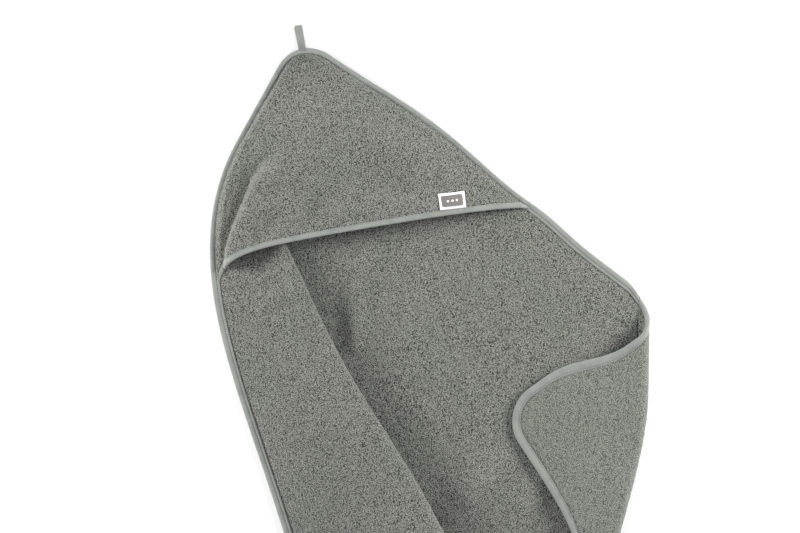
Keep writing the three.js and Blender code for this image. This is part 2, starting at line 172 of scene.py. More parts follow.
def ripple(points, length, phase=0.0):
    """Slow waves over the plan, between 0 and 1."""
    x, y = points[..., 0] / length, points[..., 1] / length
    waves = sum(np.sin(by_x * x + by_y * y + part * phase + start) for by_x, by_y, part, start in WAVES)
    return 0.5 + waves / (2 * len(WAVES))


# ---------------------------------------------------------------- how the cloth lies


def pleat_table():
    """The pleat's section at each distance from its apex, as arrays for interpolation."""
    distance = np.arange(1.0, PLEAT_LENGTH, 2.0)
    swing = SWING * np.tanh((distance / SWING_LENGTH) ** SWING_POWER)
    excess = swing * distance
    rolls = ROLLS * (1 - np.exp(-distance / ROLLS_LENGTH))
    shortest = SHORTEST_HIDDEN * distance
    low = np.zeros_like(distance)
    high = np.full_like(distance, FLATTEST)
    for _ in range(BISECTIONS):
        turn = (low + high) / 2
        used = rolls * (turn - np.sin(turn)) + shortest * (1 - np.cos(turn))
        low = np.where(used < excess, turn, low)
        high = np.where(used < excess, high, turn)
    length = (excess - rolls * (turn - np.sin(turn))) / (1 - np.cos(turn))
    overhang = RIDGE_SHARE * rolls * np.sin(np.minimum(turn, math.pi / 2))
    overhang = overhang + MIDDLE * np.minimum(1, distance / OVERHANG_LENGTH)
    ridge_angle = RIDGE_ANGLE + RIDGE_BEND * smooth((distance - RIDGE_BEND_START) / RIDGE_BEND_LENGTH)
    strip = (ridge_angle - LEFT_ANGLE) * distance - excess - overhang
    strip = np.maximum(strip, NARROWEST_STRIP * distance)
    back = np.minimum(length, MOST_BACK * strip)
    valley = strip + rolls * np.sin(turn) + back * np.cos(turn)
    drop = rolls * (1 - np.cos(turn)) + back * np.sin(turn)
    return dict(distance=distance, swing=swing, excess=excess, rolls=rolls, turn=turn,
                strip=strip, back=back, valley=valley, drop=drop)


PLEAT = pleat_table()


def pleated(flat):
    """Where the cloth's middle lies once it is pleated: plan and height."""
    offset = flat - APEX
    distance = np.maximum(np.hypot(offset[..., 0], offset[..., 1]), 1e-3)
    turned = np.arctan2(offset[..., 1], offset[..., 0]) - LEFT_ANGLE
    turned = np.mod(turned + math.pi / 2, 2 * math.pi) - math.pi / 2
    along = turned * distance
    at = {key: np.interp(distance, PLEAT["distance"], PLEAT[key]) for key in PLEAT}
    ridge_roll = RIDGE_SHARE * at["rolls"]
    valley_roll = at["rolls"] - ridge_roll
    after_ridge = at["strip"] + at["turn"] * ridge_roll
    main = at["valley"] + at["excess"]
    before_valley = main - at["turn"] * valley_roll
    hidden = np.maximum(before_valley - after_ridge, 1e-3)
    sin, cos = np.sin(at["turn"]), np.cos(at["turn"])
    top = at["drop"]

    flat_part = np.minimum(STRIP_FLAT, STRIP_FLAT_SHARE * at["strip"])
    share = np.clip((along - flat_part) / np.maximum(at["strip"] - flat_part, 1e-3), 0, 1)
    fullness = smooth((distance - STRIP_FULL_START) / STRIP_FULL_LENGTH)
    rise = fullness * (1 - (1 - share) ** EARLY_RISE) + (1 - fullness) * share ** LATE_RISE
    strip_place = along, top * rise

    bend = np.clip((along - at["strip"]) / np.maximum(ridge_roll, 1e-3), 0, at["turn"])
    ridge_place = at["strip"] + ridge_roll * np.sin(bend), top - ridge_roll * (1 - np.cos(bend))

    share = np.clip((along - after_ridge) / hidden, 0, 1)
    hidden_place = (at["strip"] + ridge_roll * sin + at["back"] * share * cos,
                    top - ridge_roll * (1 - cos) - at["back"] * share * sin)

    bend = np.clip((main - along) / np.maximum(valley_roll, 1e-3), 0, at["turn"])
    valley_place = at["valley"] - valley_roll * np.sin(bend), valley_roll * (1 - np.cos(bend))

    stretches = [along <= at["strip"], along <= after_ridge, along <= before_valley, along <= main]
    places = [strip_place, ridge_place, hidden_place, valley_place]
    sideways = np.select(stretches, [place[0] for place in places], along - at["excess"])
    height = np.select(stretches, [place[1] for place in places], 0.0)
    angle = LEFT_ANGLE + at["swing"] + sideways / distance
    plan = APEX + distance[..., None] * np.stack([np.cos(angle), np.sin(angle)], -1)
    return plan, height


TIP = RIGHT_CORNER @ ACROSS - FOLD_DISTANCE - ROLL_LENGTH
FLAP_SLOPE = math.atan((MIDDLE + 2 * FOLD_RADIUS - FLAP_TIP_HEIGHT) / TIP)
CURL_DROP = 31.0  # how far the fold's upper end is drawn down along the fold
CURL_REACH = 80.0  # how far in from the upper edge it is drawn
CURL_START = -15.0  # how far past the fold line the drawing down starts, and over what it grows
CURL_GROWTH = 50.0
CURL_END = 45.0  # how far past the fold line it starts to fade, and over what it fades
CURL_FADE = 95.0
SIDE_CURVE = 50.0  # how far the folded side curves in below the middle
SIDE_CURVE_TOP = 55.0
SIDE_CURVE_LENGTH = 285.0
SIDE_CURVE_REACH = {"towel": 140.0, "flap": 60.0}  # how far from the fold it is felt on each side

# Places along the upper right edge where it bulges: distance from the hood's corner, reach, size
BULGES = [(195.0, 115.0, 12.0), (365.0, 40.0, 4.0)]
BULGE_DEPTH = 120.0  # how far in from the edge they are felt
BULGE_FADE = 60.0  # they fade over this distance before the fold


def bulge(flat):
    """How far the cloth near the upper right edge lies outside the straight edge."""
    corner, along, inward = SIDES[3]
    depth = (flat - corner) @ inward
    distance = (HOOD_CORNER - flat) @ along
    size = sum(most * np.exp(-((distance - place) / reach) ** 2) for place, reach, most in BULGES)
    return (-size * np.exp(-(depth / BULGE_DEPTH) ** 2))[..., None] * inward


def folded_over(flat, past):
    """Plan and height of the cloth past the fold line, and how far it is past the roll."""
    turn = np.clip(past / FOLD_RADIUS, 0, math.pi)
    back = np.maximum(past - ROLL_LENGTH, 0)
    across = FOLD_DISTANCE + FOLD_RADIUS * np.sin(turn) - back * math.cos(FLAP_SLOPE)
    plan = across[..., None] * ACROSS + (flat @ FOLD_LINE)[..., None] * FOLD_LINE
    return plan, FOLD_RADIUS * (1 - np.cos(turn)) - back * math.sin(FLAP_SLOPE), back


def curled(past, near_edge):
    """How the cloth at the fold's upper end is drawn down along the fold."""
    drop = CURL_DROP * near_edge * smooth((past - CURL_START) / CURL_GROWTH)
    drop = drop * (1 - smooth((past - CURL_END) / CURL_FADE))
    return -drop[..., None] * FOLD_LINE


CREASE_ENDS = 0.55  # height of a crease at its ends, as a share of its middle
CREASE_SWELL = 0.45  # the rest, which the middle adds


def creased(plan, creases):
    """Height added by soft creases: two ends in plan, half width and height of each."""
    height = np.zeros(plan.shape[:-1])
    for start, end, half_width, size in creases:
        start, run = np.array(start), np.array(end) - np.array(start)
        share = np.clip((plan - start) @ run / (run @ run), 0, 1)
        away = np.linalg.norm(plan - start - share[..., None] * run, axis=-1)
        swell = CREASE_ENDS + CREASE_SWELL * np.sin(math.pi * share)
        height = height + size * np.exp(-(away / half_width) ** 2) * swell
    return height


# Soft creases in the towel's main area, in plan: two ends, half width, height
TOWEL_CREASES = [
    ((43, 264), (15, 160), 12, 7.0),
    ((165, -10), (110, -55), 24, 8.0),
    ((215, -40), (170, -85), 20, 5.0),
    ((130, 235), (200, 180), 26, 2.5),
]

# The same on the strip under the hood's left end
STRIP_CREASES = [
    ((-98, 238), (-58, 254), 6, 3.0),
    ((-90, 212), (-44, 231), 7, 3.5),
    ((-122, 236), (-112, 215), 6, 2.0),
]
CREASE_MARGIN = 40.0  # creases fade over this distance to the outline
CREASE_LIFT = 4.0  # the towel's creases end where the cloth is raised this far

# Waves all over the cloth: height and length
LONG_WAVES = (1.8, 60.0)
SHORT_WAVES = (1.0, 23.0)
SHORT_WAVE_PHASE = 2.0
WAVE_MARGIN = 60.0  # waves fade over this distance to the outline and to the fold


def lay(flat):
    """The middle of the cloth as it lies, from flat coordinates: pleat, fold and slow waves."""
    plan, height = pleated(flat)
    past = flat @ ACROSS - FOLD_DISTANCE
    folded = past > 0
    corner, _, inward = SIDES[3]
    near_edge = np.exp(-(((flat - corner) @ inward) / CURL_REACH) ** 2)
    folded_plan, lift, back = folded_over(flat, past)
    plan = plan + bulge(flat) * (1 - smooth((past + BULGE_FADE) / BULGE_FADE))[..., None]
    creases = creased(plan, TOWEL_CREASES) * (1 - smooth(height / CREASE_LIFT))
    creases = creases + creased(plan, STRIP_CREASES)
    height = height + creases * smooth(edge_depth(flat) / CREASE_MARGIN)
    plan = np.where(folded[..., None], folded_plan, plan) + curled(past, near_edge)
    height = np.where(folded, lift, height)
    curve = SIDE_CURVE * smooth((SIDE_CURVE_TOP - plan[..., 1]) / SIDE_CURVE_LENGTH)
    from_fold = np.where(folded, back / SIDE_CURVE_REACH["flap"], past / SIDE_CURVE_REACH["towel"])
    curve = curve * np.exp(-from_fold ** 2)
    plan = plan - curve[..., None] * ACROSS
    waves = LONG_WAVES[0] * ripple(flat, LONG_WAVES[1])
    waves = waves + SHORT_WAVES[0] * ripple(flat, SHORT_WAVES[1], SHORT_WAVE_PHASE)
    waves = waves * smooth(edge_depth(flat) / WAVE_MARGIN)
    waves = waves * smooth(-past / WAVE_MARGIN)
    return np.concatenate([plan, (height + waves + MIDDLE)[..., None]], -1)


def sides():
    """Each side as a corner, its direction and its inward normal, round the towel."""
    result = []
    for i, corner in enumerate(CORNERS):
        along = CORNERS[(i + 1) % 4] - corner
        along = along / np.linalg.norm(along)
        result.append((corner, along, np.array([-along[1], along[0]])))
    return result


SIDES = sides()


def edge_depth(flat):
    """Distance in from the towel's rounded outline."""
    total = np.zeros(flat.shape[:-1])
    for corner, _, inward in SIDES:
        total = total + np.maximum(0, ROUNDING - (flat - corner) @ inward) ** 2
    return ROUNDING - np.sqrt(total)


def surface(place_of, points, step=SLOPE_STEP):
    """A surface's points and normals, from a function of two numbers."""
    middle = place_of(points)
    right = place_of(points + np.array([step, 0.0])) - place_of(points - np.array([step, 0.0]))
    up = place_of(points + np.array([0.0, step])) - place_of(points - np.array([0.0, step]))
    normal = np.cross(right, up)
    return middle, normal / np.linalg.norm(normal, axis=-1, keepdims=True)


# ---------------------------------------------------------------- the outline


def corner_arc(i, depth):
    """The rounded corner i, inset by a depth."""
    corner, along, _ = SIDES[i]
    _, before, _ = SIDES[i - 1]
    sine = abs(before[0] * along[1] - before[1] * along[0])
    turn = np.linspace(0, math.pi / 2, ARC_STEPS)[:, None]
    radius = ROUNDING - depth
    from_before = ROUNDING - radius * np.cos(turn)
    from_side = ROUNDING - radius * np.sin(turn)
    return corner + (along * from_before - before * from_side) / sine


def crossing(start, end):
    """Where the line from start to end crosses the fold line."""
    share = (FOLD_DISTANCE - start @ ACROSS) / ((end - start) @ ACROSS)
    return start + share * (end - start)


STRAIGHTS = {}  # how many points each straight stretch has, kept from the first time it is made


def even_line(name, start, end):
    """A straight stretch with the same number of points at every depth."""
    if name not in STRAIGHTS:
        STRAIGHTS[name] = max(2, int(np.linalg.norm(end - start) / EDGE_STEP) + 1)
    return start + (end - start) * np.linspace(0, 1, STRAIGHTS[name])[1:-1, None]


def outline_parts(depth):
    """The four rounded corners at a depth, and the fold line's upper and lower ends there."""
    hood, left, bottom, right = [corner_arc(i, depth) for i in range(4)]
    return hood, left, bottom, right, crossing(hood[0], right[-1]), crossing(bottom[-1], right[0])


def lying_edge(depth):
    """The outline from the fold's upper end, round hood, left and bottom corners, to its lower end."""
    hood, left, bottom, _, upper, lower = outline_parts(depth)
    return np.concatenate([
        [upper], even_line("upper", upper, hood[0]), hood, even_line("left", hood[-1], left[0]), left,
        even_line("hem", left[-1], bottom[0]), bottom, even_line("lower", bottom[-1], lower), [lower],
    ])


def folded_edge(depth):
    """The outline of the folded corner, from the fold's lower end to its upper end."""
    _, _, _, right, upper, lower = outline_parts(depth)
    return np.concatenate([
        [lower], even_line("flap_lower", lower, right[0]), right,
        even_line("flap_upper", right[-1], upper), [upper],
    ])


# ---------------------------------------------------------------- meshes


def make_mesh(name, points, faces, materials, face_materials=None, flat_from=None):
    """A mesh object from points in millimetres, smooth-shaded up to the face flat_from."""
    data = bpy.data.meshes.new(name)
    data.from_pydata((np.asarray(points) * MM).tolist(), [], faces)
    for material in materials:
        data.materials.append(material)
    if face_materials is not None:
        data.polygons.foreach_set("material_index", np.asarray(face_materials, np.int32))
    is_smooth = np.ones(len(data.polygons), bool)
    if flat_from is not None:
        is_smooth[flat_from:] = False
    data.polygons.foreach_set("use_smooth", is_smooth)
    data.update()
    piece = bpy.data.objects.new(name, data)
    bpy.context.scene.collection.objects.link(piece)
    return piece


def grid_faces(rows, columns, first=0, flip=False):
    """The faces of a grid of points, which start at the point first."""
    index = first + np.arange(rows * columns).reshape(rows, columns)
    corners = [index[:-1, :-1], index[1:, :-1], index[1:, 1:], index[:-1, 1:]]
    if flip:
        corners = corners[::-1]
    return np.stack([corner.ravel() for corner in corners], -1)


def cloth_piece(name, middle, normal, half, raised, materials):
    """A cloth of two skins joined round the edge, each raised and lowered a little by its pile."""
    rows, columns = middle.shape[:2]
    count = rows * columns
    half = np.broadcast_to(half, (rows, columns))
    front = middle + normal * (half + raised[0])[..., None]
    back = middle - normal * (half + raised[1])[..., None]
    rim = np.concatenate([
        np.arange(columns), np.arange(1, rows) * columns + columns - 1,
        (rows - 1) * columns + np.arange(columns - 2, -1, -1), np.arange(rows - 2, 0, -1) * columns,
    ])
    after = np.roll(rim, -1)
    faces = [grid_faces(rows, columns, 0), grid_faces(rows, columns, count, flip=True),
             np.stack([rim, after, after + count, rim + count], -1)]
    sides_of = np.concatenate([np.full(len(part), slot) for part, slot in zip(faces, (0, 1, 1))])
    points = np.concatenate([front.reshape(-1, 3), back.reshape(-1, 3)])
    rim_start = len(faces[0]) + len(faces[1])
    return make_mesh(name, points, np.concatenate(faces).tolist(), materials, sides_of, rim_start)


PILE_SPREAD = 2.45  # divides the softened noise, so that it varies as much as before
PILE_MOST = 1.8  # the highest and lowest loops, in standard deviations


def pile(shape, height):
    """Uneven pile for two skins: random heights, softened over their neighbours."""
    result = []
    for _ in range(2):
        noise = RNG.normal(size=shape)
        noise = (2 * noise + np.roll(noise, 1, 0) + np.roll(noise, 1, 1)) / PILE_SPREAD
        result.append(height * np.clip(noise, -PILE_MOST, PILE_MOST))
    return result


def sweep(name, rings, materials):
    """A closed tube through rings of points, with flat ends."""
    rings = np.asarray(rings)
    count, around = rings.shape[:2]
    index = np.arange(count * around).reshape(count, around)
    after = np.roll(index, -1, 1)
    walls = np.stack([index[:-1], index[1:], after[1:], after[:-1]], -1).reshape(-1, 4).tolist()
    ends = [index[0].tolist(), index[-1][::-1].tolist()]
    return make_mesh(name, rings.reshape(-1, 3), walls + ends, materials, flat_from=len(walls))


def squarish(values, power):
    """Sines or cosines that draw a squarer section than a circle, the more so for a smaller power."""
    return np.sign(values) * np.abs(values) ** power


GROOVE_LEVEL = 0.5  # height of the groove, as a share of the binding's
ROLL_POINTS = 9

# The lip past the groove: share of the way from there to the inner edge, and height
LIP = [(0.0, GROOVE_LEVEL), (0.2, 0.76), (0.7, 0.82), (0.95, 0.5), (1.0, 0.0)]


def binding_section(below, above, groove):
    """The binding's section: share of its width from the outer edge, and height above the middle.

    A row of stitches presses a groove into each side, so a wide roll and a narrow lip are left.
    """
    turn = np.linspace(0, math.pi, ROLL_POINTS)
    roll_widths = groove * (0.5 - 0.5 * squarish(np.cos(turn), 0.75))
    roll_heights = np.sin(turn) ** 0.55
    side = [(width, max(height, GROOVE_LEVEL * (width > groove / 2)))
            for width, height in zip(roll_widths[:-1], roll_heights)]
    side += [(groove + share * (1 - groove), height) for share, height in LIP]
    over = [(width, above * height) for width, height in side]
    under = [(width, -below * height) for width, height in side[::-1]][1:-1]
    return over + under


PUCKER = 0.12  # how unevenly the binding is puffed out, as a share of its height


def binding(name, edge_of, place_of, section, material, width=BINDING_WIDTH, step=SLOPE_STEP):
    """Binding along an edge: edge_of gives the edge's flat points at a depth."""
    columns = []
    count = len(edge_of(0.0))
    pucker = PUCKER * RNG.normal(size=count)
    pucker[[0, -1]] = 0
    for share, height in section:
        middle, normal = surface(place_of, edge_of(share * width), step)
        rise = height * (1 + pucker)
        columns.append(middle + normal * rise[:, None])
    return sweep(name, np.stack(columns, 1), [material])


def travel(line):
    """The distance travelled to each point of a line."""
    return np.concatenate([[0], np.cumsum(np.linalg.norm(np.diff(line, axis=0), axis=1))])


def along_line(distance, travelled, values):
    """The values of a line's points, at a distance along it."""
    return np.array([np.interp(distance, travelled, column) for column in values.T])


# A stitch: places along it and how fat it is there, the sides of its section, its radius, and how
# far ahead its direction is taken
STITCH_RINGS = [(0.0, 0.25), (0.2, 1.0), (0.8, 1.0), (1.0, 0.25)]
STITCH_SIDES = 6
STITCH_RADIUS = 0.42
STITCH_AHEAD = 0.5


def stitches(name, line, normal, material, length=STITCH_LENGTH, pitch=STITCH_PITCH,
             radius=STITCH_RADIUS):
    """A row of separate stitches along a line that lies on a surface."""
    travelled = travel(line)
    starts = pitch * (0.5 + np.arange(int((travelled[-1] - length) / pitch)))
    turns = np.arange(STITCH_SIDES) * 2 * math.pi / STITCH_SIDES
    last_ring = STITCH_SIDES * (len(STITCH_RINGS) - 1)
    points, faces = [], []
    for start in starts:
        first = len(points)
        for share, fat in STITCH_RINGS:
            at = start + share * length
            here = along_line(at, travelled, line)
            up = along_line(at, travelled, normal)
            along = along_line(at + STITCH_AHEAD, travelled, line) - here
            side = np.cross(up, along / max(np.linalg.norm(along), 1e-6))
            for turn in turns:
                points.append(here + radius * fat * (side * math.cos(turn) + up * math.sin(turn)))
        for ring in range(first, first + last_ring, STITCH_SIDES):
            for k in range(STITCH_SIDES):
                a, b = ring + k, ring + (k + 1) % STITCH_SIDES
                faces.append((a, b, b + STITCH_SIDES, a + STITCH_SIDES))
        faces.append(tuple(first + k for k in reversed(range(STITCH_SIDES))))
        faces.append(tuple(first + last_ring + k for k in range(STITCH_SIDES)))
    return make_mesh(name, points, faces, [material])


# ---------------------------------------------------------------- materials

GAMMA = 2.2
LOOP_SHIFT = 0.0012  # how far noise shifts the terry's loops from their cells, in metres
LOOP_HEIGHT = 0.0012


def srgb(red, green, blue):
    """A colour from 0 to 255 as the linear values that a shader takes."""
    return tuple((value / 255) ** GAMMA for value in (red, green, blue)) + (1.0,)


def grey(value):
    """A grey from its linear value."""
    return (value, value, value, 1)


def set_inputs(material, node, inputs):
    """Sets a node's inputs, each to a value or to the output of another node."""
    for name, value in inputs.items():
        if isinstance(value, bpy.types.NodeSocket):
            material.node_tree.links.new(value, node.inputs[name])
        else:
            node.inputs[name].default_value = value


def add_node(material, kind, inputs, **settings):
    """A new shader node of a kind, with its settings and inputs."""
    node = material.node_tree.nodes.new("ShaderNode" + kind)
    for name, value in settings.items():
        setattr(node, name, value)
    set_inputs(material, node, inputs)
    return node


def new_material(name):
    """A node material with only its shader."""
    material = bpy.data.materials.new(name)
    material.use_nodes = True
    return material


def set_shader(material, inputs):
    """Sets the inputs of a material's shader."""
    set_inputs(material, material.node_tree.nodes["Principled BSDF"], inputs)


def object_place(material):
    """Where a point is in the object's own coordinates."""
    return add_node(material, "TexCoord", {}).outputs["Object"]


def soft_noise(material, place, scale, detail=2.0):
    """The outputs of soft noise."""
    return add_node(material, "TexNoise", {"Scale": scale, "Detail": detail, "Vector": place}).outputs


def ramp(material, source, *stops):
    """A colour that goes by a source's value from one stop's colour to the other's."""
    node = add_node(material, "ValToRGB", {"Fac": source})
    for element, (position, colour) in zip(node.color_ramp.elements, stops):
        element.position = position
        element.color = colour
    return node.outputs["Color"]


def multiplied(material, first, second):
    """One colour multiplied by another."""
    inputs = {"Factor": 1.0, "A": first, "B": second}
    return add_node(material, "Mix", inputs, data_type="RGBA", blend_type="MULTIPLY").outputs["Result"]


def relief(material, source, strength, distance, invert=False):
    """Bumps whose height a source gives."""
    inputs = {"Strength": strength, "Distance": distance, "Height": source}
    return add_node(material, "Bump", inputs, invert=invert).outputs["Normal"]


def terry_material(name, loop_size, dark, light, bump):
    """Looped pile: each loop has its own shade, with dark gaps between, under slow soft clouds."""
    material = new_material(name)
    place = object_place(material)
    bend = soft_noise(material, place, 600.0)["Color"]
    shifted = add_node(material, "VectorMath", {0: bend, 1: [LOOP_SHIFT] * 3, 2: place},
                       operation="MULTIPLY_ADD").outputs["Vector"]
    cells = {"Scale": 1 / (loop_size * MM), "Randomness": 0.95, "Vector": shifted}
    loops = add_node(material, "TexVoronoi", cells).outputs
    own_value = add_node(material, "SeparateColor", {"Color": loops["Color"]}).outputs["Red"]
    own_shade = ramp(material, own_value, (0.0, grey(0.92)), (1.0, grey(1.08)))
    loop_shade = ramp(material, loops["Distance"], (0.15, light), (0.72, dark))
    looped = multiplied(material, loop_shade, own_shade)
    clouds = soft_noise(material, place, 11.0, detail=3.0)["Fac"]
    cloud_shade = ramp(material, clouds, (0.3, (0.94, 0.96, 0.93, 1)), (0.7, (1.05, 1.03, 1.04, 1)))
    set_shader(material, {
        "Base Color": multiplied(material, looped, cloud_shade),
        "Normal": relief(material, loops["Distance"], bump, LOOP_HEIGHT, invert=True),
        "Roughness": 1.0, "Specular IOR Level": 0.15, "Sheen Weight": 0.2, "Sheen Roughness": 0.6,
    })
    return material


def knit_material(name, dark, light, roughness=0.85):
    """Fine smooth jersey: small ribs and a faint mottle."""
    material = new_material(name)
    place = object_place(material)
    ribs = soft_noise(material, place, 1500.0)["Fac"]
    mottle = soft_noise(material, place, 60.0, detail=4.0)["Fac"]
    shade = ramp(material, mottle, (0.3, dark), (0.7, light))
    fine = ramp(material, ribs, (0.3, grey(0.88)), (0.7, grey(1.08)))
    set_shader(material, {
        "Base Color": multiplied(material, shade, fine),
        "Normal": relief(material, ribs, 0.35, 0.0004),
        "Roughness": roughness, "Specular IOR Level": 0.25, "Sheen Weight": 0.15,
    })
    return material


def satin_material(name, colour, shaded):
    """Woven satin ribbon: fine crosswise threads."""
    material = new_material(name)
    waves = {"Scale": 550.0, "Distortion": 0.6, "Vector": object_place(material)}
    threads = add_node(material, "TexWave", waves, bands_direction="Y").outputs["Fac"]
    set_shader(material, {
        "Base Color": ramp(material, threads, (0.0, shaded), (0.6, colour)),
        "Normal": relief(material, threads, 0.3, 0.0002),
        "Roughness": 0.55,
    })
    return material


terry = terry_material("terry", 1.14, srgb(44, 45, 42), srgb(158, 160, 152), 0.5)
reverse = terry_material("terry_reverse", 1.1, srgb(68, 71, 66), srgb(152, 157, 148), 0.4)
jersey = knit_material("jersey", srgb(128, 131, 126), srgb(139, 142, 136))
tape = knit_material("tape", srgb(118, 120, 115), srgb(134, 136, 131))
thread = knit_material("thread", srgb(128, 131, 125), srgb(156, 159, 152), 0.7)
satin = satin_material("satin", srgb(244, 243, 241), srgb(225, 224, 222))
mauve = satin_material("mauve_satin", srgb(121, 117, 115), srgb(106, 102, 100))
pale = satin_material("pale_satin", srgb(226, 222, 222), srgb(206, 202, 202))


# ---------------------------------------------------------------- the towel


def chains(depth):
    """The outline at a depth as two chains of (across, along) the fold: upper and lower."""
    ring = np.concatenate([lying_edge(depth), folded_edge(depth)])
    across, along = ring @ ACROSS, ring @ FOLD_LINE
    left, right = across.argmin(), across.argmax()
    order = np.roll(np.arange(len(ring)), -left)
    split = list(order).index(right)
    lower, upper = order[:split + 1], np.concatenate([order[split:], [left]])[::-1]
    return (across[lower], along[lower]), (across[upper], along[upper])


END_MARGIN = 0.4  # the cloth's mesh stops this far from its two ends, which are points


def cloth_grid(start, end):
    """Flat points of the cloth between two distances across the fold, inside the binding."""
    lower, upper = chains(TUCK)
    start = max(start, lower[0].min() + END_MARGIN)
    end = min(end, lower[0].max() - END_MARGIN)
    across = np.linspace(start, end, int((end - start) / GRID) + 2)
    low = np.interp(across, *lower)
    high = np.interp(across, *upper)
    rows = int((high - low).max() / GRID) + 1
    share = np.linspace(0, 1, rows)
    along = low[:, None] + (high - low)[:, None] * share
    return across[:, None, None] * ACROSS + along[..., None] * FOLD_LINE


SQUEEZE = 0.9  # how much thinner each skin of the cloth is under the binding
SQUEEZE_REACH = 4.5
TOWEL_PILE = 0.22  # height of the pile's unevenness
CORNER_PILE = 0.14
PILE_MARGIN = 8.0


def cloth_half(flat):
    """Half the cloth's thickness: squeezed where the binding is sewn on."""
    return TERRY / 2 - SQUEEZE * (1 - smooth((edge_depth(flat) - BINDING_WIDTH) / SQUEEZE_REACH))


def pile_off_fold(flat, height):
    """Uneven pile that dies away at the fold line, where the two pieces of cloth meet."""
    away = smooth(np.abs(flat @ ACROSS - FOLD_DISTANCE) / PILE_MARGIN)
    return [side * away for side in pile(flat.shape[:2], height)]


def cloth_between(name, start, end, height):
    """The cloth between two distances across the fold, with the height of its pile."""
    flat = cloth_grid(start, end)
    middle, normal = surface(lay, flat)
    return cloth_piece(name, middle, normal, cloth_half(flat), pile_off_fold(flat, height),
                       [terry, reverse])


def towel_cloth():
    """The towel's cloth up to the fold line."""
    piece = cloth_between("towel_cloth", -math.inf, FOLD_DISTANCE, TOWEL_PILE)
    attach(piece, "towel")
    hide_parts("towel_panel")
    return piece


def blend_over_fold(piece):
    """Bakes the piece's placement into its points. The roll in it turns from the towel to the folded
    corner, and the flap is past the turn.
    """
    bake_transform(piece)


def corner_cloth():
    """The cloth past the fold line: the roll and the folded corner."""
    piece = cloth_between("corner_cloth", FOLD_DISTANCE, math.inf, CORNER_PILE)
    blend_over_fold(piece)
    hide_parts("corner_fold", "corner_flap")
    return piece


def stitch_line(edge_of, place_of, depth, height, step=SLOPE_STEP):
    """The line that a row of stitches follows, and the surface's normals there."""
    middle, normal = surface(place_of, edge_of(depth), step)
    return middle + normal * height, normal


STITCH_SHARE = 0.56  # height of the stitches in their groove, as a share of the binding's
STITCH_HEIGHT = BINDING_ABOVE * STITCH_SHARE


def towel_binding():
    """The binding round the towel up to the fold, and its stitches."""
    section = binding_section(BINDING_BELOW, BINDING_ABOVE, EDGE_GROOVE)
    piece = binding("towel_trim", lying_edge, lay, section, jersey)
    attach(piece, "towel")
    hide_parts("edge_binding")
    line, normal = stitch_line(lying_edge, lay, EDGE_GROOVE * BINDING_WIDTH, STITCH_HEIGHT)
    row = stitches("towel_stitches", line, normal, thread)
    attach(row, "towel")
    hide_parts("edge_stitching", "hem_stitching")
    return [piece, row]


def corner_binding():
    """The binding round the folded corner, upside down there, and its stitches."""
    section = binding_section(BINDING_ABOVE, BINDING_BELOW + FLAP_BINDING_EXTRA, FLAP_GROOVE)
    section = [(width, -height) for width, height in section]
    piece = binding("corner_trim", folded_edge, lay, section, jersey)
    blend_over_fold(piece)
    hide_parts("upper_fold_binding", "lower_fold_binding", "corner_binding")
    line, normal = stitch_line(folded_edge, lay, FLAP_GROOVE * BINDING_WIDTH, -STITCH_HEIGHT)
    row = stitches("corner_stitches", line, normal, thread)
    blend_over_fold(row)
    return [piece, row]


# ---------------------------------------------------------------- the hood

HOOD_LEG_LEFT = 328.0
HOOD_LEG_RIGHT = 347.0
ROUNDED_OFF = 14.0  # how much of each leg the rounded corner takes away
HOOD_EDGE = TUCK + 1.0  # how far in from the outline the hood's sides are sewn
HOOD_LIFT = 0.9  # from the towel's middle to the hood's, where it lies closest
HOOD_HEIGHT = 22.0  # of the hood's high left end
HOOD_RISE = 0.6  # how far down the hood it reaches that height, as a share
HOOD_POCKET = 16.0  # how high the hood's front stands in the middle
POCKET_RISE = 0.9
FRONT_SAG = 47.0  # how far the front edge is drawn up at its left end
SAG_POWER = 3
SAG_FADE = 0.65
SEAM_HEIGHT = 4.2  # step up from the side seams to the hood's cloth
SEAM_START = 2.0
SEAM_WIDTH = 9.0
SEAM_RISE = 0.05
HOOD_SLACK = (1.5, 42.0, 1.0)  # height, length and phase of the hood's own waves
SLACK_MARGIN = 40.0
HOOD_CREASE_MARGIN = 25.0
HOOD_STEEP = 8.0  # how far from the left seam the hood takes to rise
HOOD_RIGHT_FADE = 60.0  # how far from the right seam the height starts to go down
CREST_DIP = 3.6  # how far the cloth sinks at the foot of the crest
CREST_DIP_WIDTH = 8.0
HOOD_STEP = 0.0015  # stands for SLOPE_STEP on the hood, whose places are shares

# The hood's crest in plan, from the front edge: sharp at first, then softer and lower
CREST_POINTS = [(-124, 233), (-114, 289), (-81, 345), (-57, 368), (-27, 376), (45, 400)]
CREST_RISE = np.array([3.5, 3.5, 5.0, 14.0, 30.0, 40.0])  # width of the step beside it
CREST_SHARE = np.array([1.0, 1.0, 0.85, 0.55, 0.3, 0.0])  # how much of the height steps down

# Soft creases in the hood, in plan: two ends, half width, height
HOOD_CREASES = [
    ((-48, 322), (-70, 300), 9, -5.0),
    ((8, 335), (-22, 302), 9, -6.0),
    ((75, 340), (100, 325), 20, -8.0),
    ((58, 372), (20, 352), 9, 4.0),
    ((141, 356), (134, 318), 9, -4.0),
    ((156, 352), (148, 318), 8, 3.0),
    ((118, 372), (60, 385), 12, 4.0),
    ((100, 405), (55, 432), 10, -3.0),
]

# How the front edge leaves the left seam: shares of the sag held back, and how fast each lets go
SAG_HELD = [(0.4, 0.01), (0.6, 0.06)]

# How the hood gets lower past its crest: a part that drops soon, and a fade over the whole width
SOON_SHARE = 0.3
SOON_WIDTH = 24.0
FADE_START = 30.0
FADE_WIDTH = 190.0


